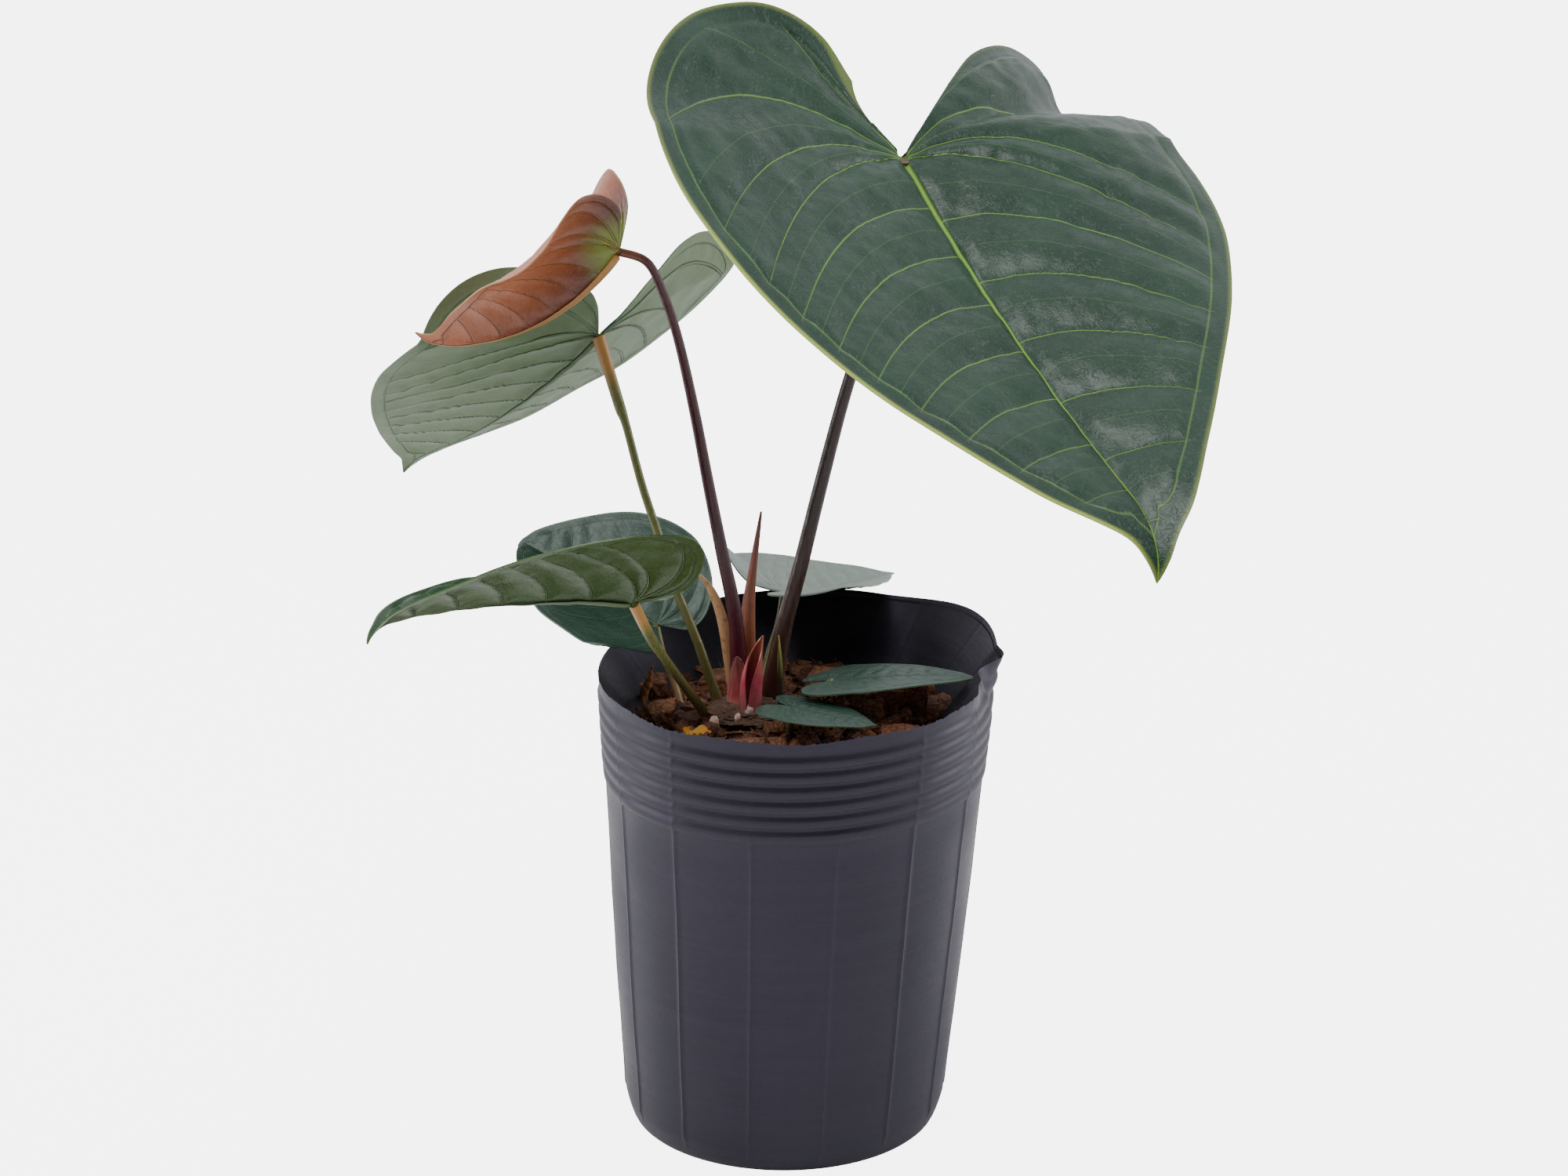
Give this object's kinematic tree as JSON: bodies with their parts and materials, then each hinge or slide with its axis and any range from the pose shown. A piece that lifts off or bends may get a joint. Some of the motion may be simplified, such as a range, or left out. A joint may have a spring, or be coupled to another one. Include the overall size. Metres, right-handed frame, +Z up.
{
  "type": "potted anthurium",
  "caption": "Foliage plant with heart-shaped leaves on slender stalks, growing in coarse bark mix in a ribbed soft plastic nursery pot; it stands on its flat base.",
  "frame": {"origin": "centre of the pot's flat underside, on the floor", "axes": "+Z up, along the pot's axis; -Y is the front, the side the largest leaf leans towards; +X is to the right seen from the front"},
  "size_m": [0.317, 0.3316, 0.4365],
  "materials": {
    "pot_plastic": "thin charcoal plastic, satin, lightly scuffed",
    "bark_mix": "coarse red-brown bark and coir, moist and matt",
    "bark": "broken bark, matt",
    "rhizome": "brown fibrous stem base",
    "leaf_green": "deep green, waxy satin",
    "leaf_pale": "grey-green underside, soft sheen",
    "leaf_bronze": "salmon to bronze young leaf, glossy",
    "stalk_maroon": "dark maroon, smooth",
    "stalk_olive": "olive green, smooth",
    "sheath_tan": "dry papery sheath",
    "sheath_red": "fresh pink-red sheath",
    "shoot_green": "yellow-green shoot",
    "dead_leaf": "fallen yellow leaf",
    "root_pale": "pale root tip",
    "perlite": "white porous grains"
  },
  "bodies": {
    "root": {"bark_chip_1": "bark", "bark_chip_10": "bark", "bark_chip_2": "bark", "bark_chip_3": "bark", "bark_chip_4": "bark", "bark_chip_5": "bark", "bark_chip_6": "bark", "bark_chip_7": "bark", "bark_chip_8": "bark", "bark_chip_9": "bark", "bark_splinter": "bark", "dried_sheath": "sheath_tan", "green_shoot": "shoot_green", "leaf_back": "leaf_pale", "leaf_bronze": "leaf_bronze", "leaf_folded": "leaf_green", "leaf_front": "leaf_green", "leaf_large": "leaf_green", "leaf_low": "leaf_green", "leaf_pale": "leaf_pale", "leaf_round": "leaf_green", "nursery_pot": "pot_plastic", "perlite_1": "perlite", "perlite_2": "perlite", "perlite_3": "perlite", "perlite_4": "perlite", "potting_mix": "bark_mix", "red_bud": "sheath_red", "rhizome": "rhizome", "root_nub": "root_pale", "spike_sheath": "sheath_tan", "stalk_back": "stalk_olive", "stalk_bronze": "stalk_maroon", "stalk_folded": "stalk_olive", "stalk_front": "stalk_olive", "stalk_large": "stalk_maroon", "stalk_low": "stalk_olive", "stalk_pale": "stalk_olive", "stalk_round": "stalk_olive", "stalk_sheath": "sheath_red", "yellow_scrap": "dead_leaf"}
  },
  "joints": []
}
